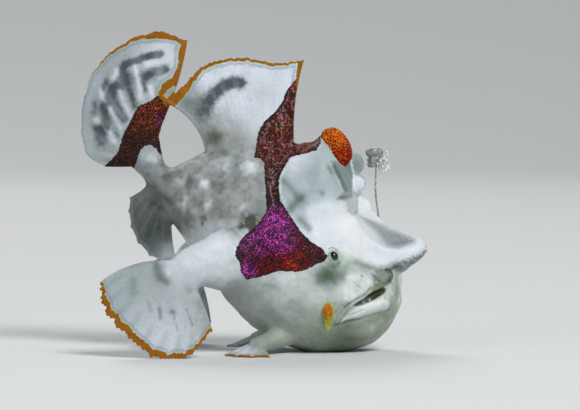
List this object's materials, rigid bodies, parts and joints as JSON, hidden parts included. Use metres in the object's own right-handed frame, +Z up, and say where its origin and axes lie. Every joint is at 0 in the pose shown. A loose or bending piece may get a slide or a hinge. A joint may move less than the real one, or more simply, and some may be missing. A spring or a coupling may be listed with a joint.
{
  "type": "frogfish",
  "caption": "Warty frogfish squatting on its throat and arm-like fins, tail raised, with a beaded lure on a thin rod, as a still life-size animal model.",
  "frame": {"origin": "on the floor, under the middle of the whole animal", "axes": "+X towards the head, +Y to the animal's own left, +Z up"},
  "size_m": [0.1044, 0.0578, 0.0961],
  "materials": {
    "skin": "soft wet sheen, white with bluish and greenish grey mottling and a dark purple-red patch from cheek to back",
    "patch_skin": "soft sheen, red-brown freckled with orange",
    "fin": "thin fleshy membrane, white with slate marks and an orange margin",
    "wart": "bumpy orange skin with dark freckles",
    "rod": "thin pale stalk",
    "lure": "grey translucent flesh with white beads",
    "eye": "wet black pupil in a pale greenish ring"
  },
  "bodies": {
    "root": {"head": "skin", "lower_jaw": "skin", "torso": "skin", "tail": "patch_skin", "second_dorsal_spine": "skin", "third_dorsal_spine": "skin", "spine_tip_wart": "wart", "illicium": "rod", "esca": "lure", "dorsal_fin": "fin", "caudal_fin": "fin", "anal_fin": "fin", "pectoral_arm_right": "skin", "pectoral_fin_right": "fin", "pelvic_fin_right": "fin", "mouth_wart_right": "wart", "eye_right": "eye", "pectoral_arm_left": "skin", "pectoral_fin_left": "fin", "pelvic_fin_left": "fin", "mouth_wart_left": "wart", "eye_left": "eye"}
  },
  "joints": []
}
